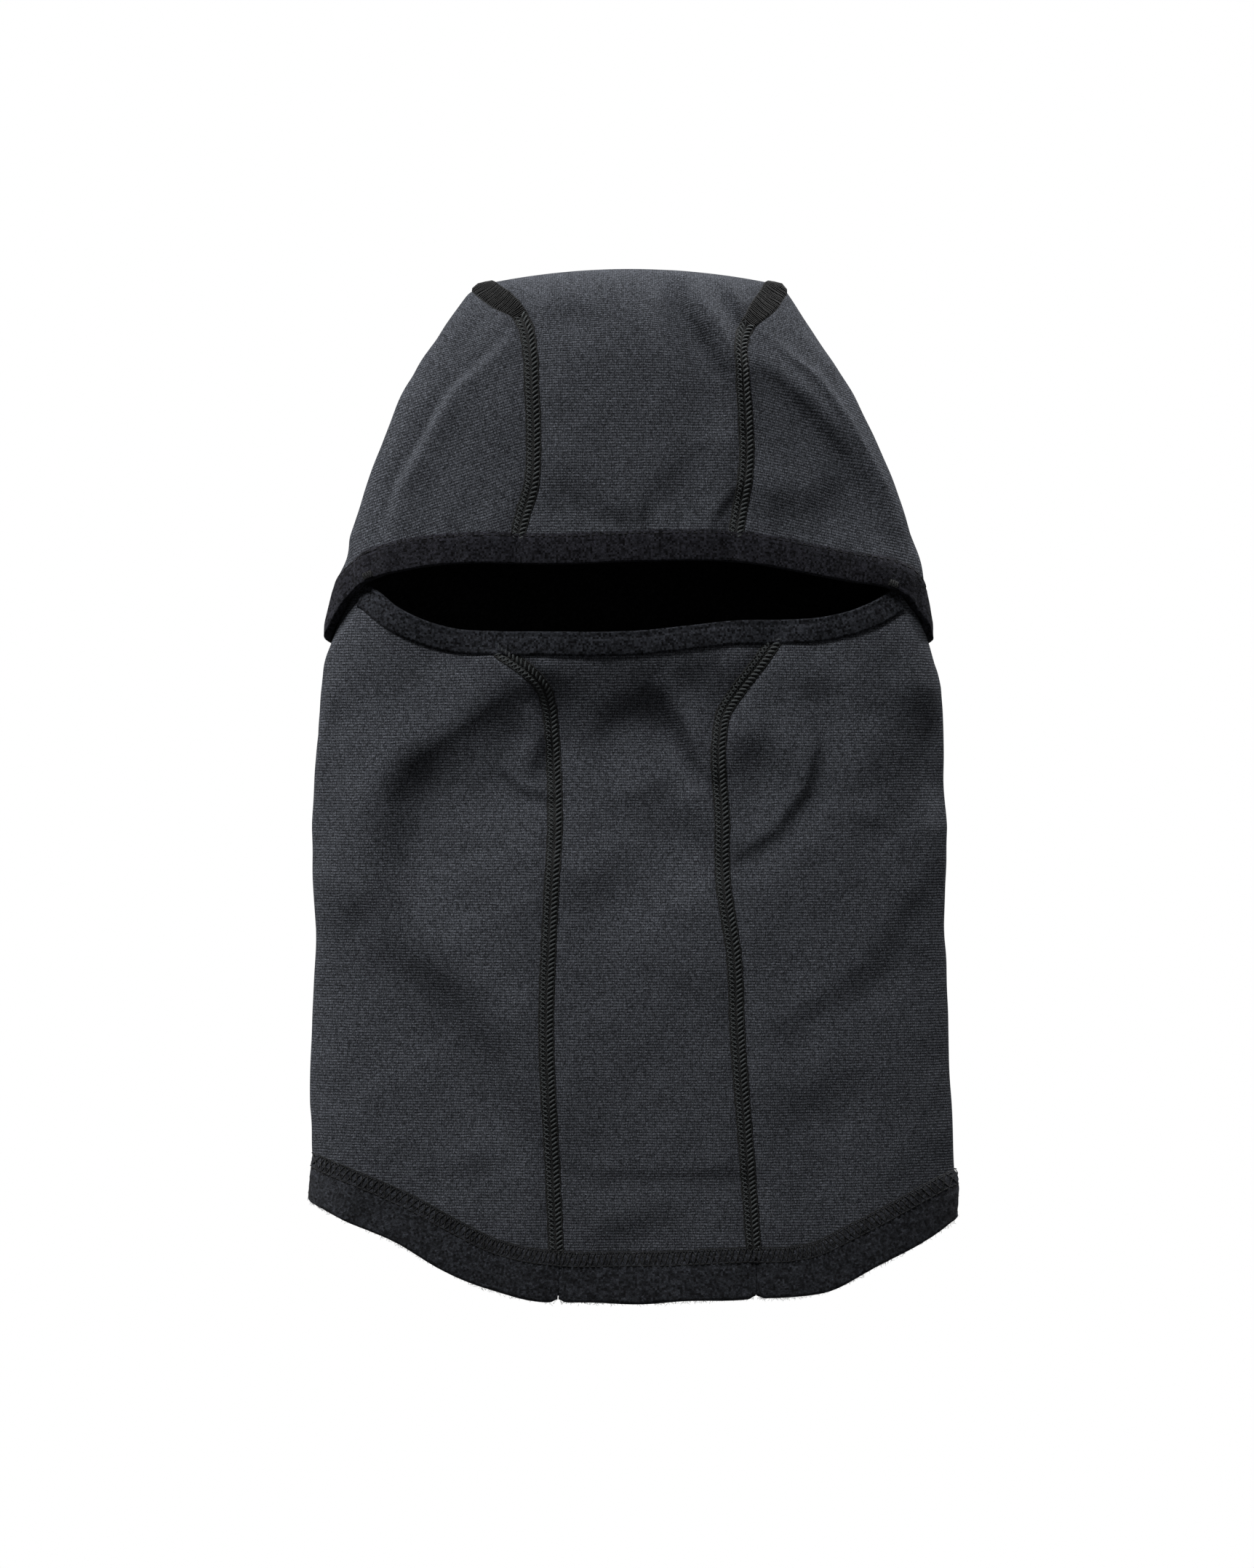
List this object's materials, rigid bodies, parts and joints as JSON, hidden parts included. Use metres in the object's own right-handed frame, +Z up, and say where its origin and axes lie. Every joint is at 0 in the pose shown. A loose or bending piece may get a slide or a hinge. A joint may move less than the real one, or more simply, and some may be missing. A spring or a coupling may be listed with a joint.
{
  "type": "balaclava",
  "caption": "Hinged fleece balaclava: a panelled hood lapped over a neck gaiter, with a bound eye slit, a mask that pulls down and a turned-up fleece hem.",
  "frame": {"origin": "under the middle of the garment, at the height of the lowest point of the front hem", "axes": "+Z up from the hem to the crown, -Y out of the face opening, +X to the wearer's left"},
  "size_m": [0.2632, 0.0612, 0.413],
  "materials": {
    "charcoal_jersey": "heathered knitted face, brushed fleece back",
    "black_tape": "smooth elastic binding",
    "black_thread": "textured polyester thread",
    "black_fleece": "brushed fleece pile",
    "label_tape": "plain woven satin, blank"
  },
  "bodies": {
    "garment": {"hood_center_panel": "charcoal_jersey", "hood_side_panel_left": "charcoal_jersey", "hood_side_panel_right": "charcoal_jersey", "crown_flatlock_left": "black_thread", "crown_flatlock_right": "black_thread", "brow_binding": "black_tape", "brow_binding_stitch": "black_thread", "nape_lap_stitch": "black_thread", "gaiter_front_panel": "charcoal_jersey", "gaiter_side_panel_left": "charcoal_jersey", "gaiter_side_panel_right": "charcoal_jersey", "gaiter_back_panel": "charcoal_jersey", "front_flatlock_left": "black_thread", "front_flatlock_right": "black_thread", "side_flatlock_left": "black_thread", "side_flatlock_right": "black_thread", "bartack_left": "black_thread", "bartack_right": "black_thread", "hem_band_front": "black_fleece", "hem_band_left": "black_fleece", "hem_band_right": "black_fleece", "hem_band_back": "black_fleece", "hem_coverstitch": "black_thread", "care_label": "label_tape"},
    "mask": {"mask_binding": "black_tape", "mask_binding_stitch": "black_thread"}
  },
  "joints": [
    {"name": "mask_drop", "type": "slide", "parent": "garment", "child": "mask", "axis": [0, 0, -1], "range_m": [0, 0.06], "deforming": ["gaiter_front_panel", "gaiter_side_panel_left", "gaiter_side_panel_right", "front_flatlock_left", "front_flatlock_right"]}
  ]
}
